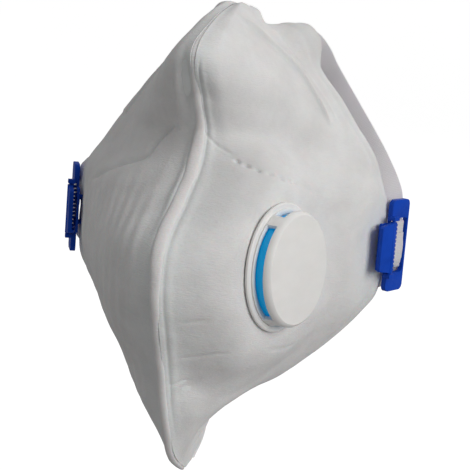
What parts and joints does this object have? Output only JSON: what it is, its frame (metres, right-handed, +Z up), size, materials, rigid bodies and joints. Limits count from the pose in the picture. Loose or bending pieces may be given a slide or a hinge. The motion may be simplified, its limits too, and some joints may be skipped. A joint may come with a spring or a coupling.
{
  "type": "dust mask",
  "caption": "Vertical fold-flat disposable dust mask of white nonwoven with a round exhalation valve, clip buckles and an elastic strap.",
  "frame": {"origin": "centre of the face opening, midway between the two cheek edges", "axes": "+Z up towards the nose, -Y to the front, +X towards the side with the valve"},
  "size_m": [0.123, 0.1233, 0.1575],
  "materials": {
    "nonwoven": "matt spun-bonded nonwoven",
    "filter_media": "fine melt-blown felt",
    "lining_fabric": "soft nonwoven",
    "nose_metal": "bare strip",
    "foam": "fine open-cell foam",
    "valve_plastic": "satin moulded",
    "diaphragm_rubber": "smooth silicone",
    "clip_plastic": "smooth moulded",
    "elastic": "smooth flat elastic"
  },
  "bodies": {
    "seam": {"centre_seam": "nonwoven"},
    "left_half": {"outer_cover_left": "nonwoven", "filter_left": "filter_media", "lining_left": "lining_fabric", "nose_strip_left": "nose_metal", "nose_foam_left": "foam", "head_strap_left": "elastic", "neck_strap_left": "elastic", "buckle_frame_left": "clip_plastic", "lever_pin_left": "clip_plastic", "buckle_plate_left": "clip_plastic", "buckle_rivets_left": "clip_plastic"},
    "right_half": {"outer_cover_right": "nonwoven", "filter_right": "filter_media", "lining_right": "lining_fabric", "nose_strip_right": "nose_metal", "nose_foam_right": "foam", "head_strap_right": "elastic", "neck_strap_right": "elastic", "buckle_frame_right": "clip_plastic", "lever_pin_right": "clip_plastic", "buckle_plate_right": "clip_plastic", "buckle_rivets_right": "clip_plastic"},
    "valve": {"valve_base": "valve_plastic", "valve_cover": "valve_plastic", "valve_backing_ring": "valve_plastic"},
    "diaphragm": {"valve_diaphragm": "diaphragm_rubber"},
    "lever_left": {"clamp_lever_left": "clip_plastic"},
    "lever_right": {"clamp_lever_right": "clip_plastic"}
  },
  "joints": [
    {"name": "fold_right", "type": "hinge", "parent": "seam", "child": "right_half", "pos_m": [0, -0.09, 0], "axis": [0, 0, 1], "range_deg": [0, 28], "deforming": ["outer_cover_right", "filter_right", "lining_right", "nose_strip_right", "nose_foam_right", "head_strap_right", "neck_strap_right"]},
    {"name": "fold_left", "type": "hinge", "parent": "seam", "child": "left_half", "pos_m": [0, -0.09, 0], "axis": [0, 0, -1], "range_deg": [0, 28], "deforming": ["outer_cover_left", "filter_left", "lining_left", "nose_strip_left", "nose_foam_left", "head_strap_left", "neck_strap_left"]},
    {"name": "valve_settle", "type": "hinge", "parent": "right_half", "child": "valve", "pos_m": [0.03677, -0.03786, 0], "axis": [0, 0, -1], "range_deg": [0, 11.5]},
    {"name": "diaphragm_lift", "type": "slide", "parent": "valve", "child": "diaphragm", "axis": [0.9442, -0.3251, 0.0523], "range_m": [0, 0.001]},
    {"name": "lever_press_right", "type": "hinge", "parent": "right_half", "child": "lever_right", "pos_m": [0.05789, -0.00917, 0.0018], "axis": [0, 0, -1], "range_deg": [0, 10]},
    {"name": "lever_press_left", "type": "hinge", "parent": "left_half", "child": "lever_left", "pos_m": [-0.05789, -0.00917, 0.0018], "axis": [0, 0, 1], "range_deg": [0, 10]}
  ],
  "couplings": [
    {"joint": "fold_left", "follows": "fold_right", "ratio": 1},
    {"joint": "valve_settle", "follows": "fold_right", "ratio": 0.4106}
  ]
}
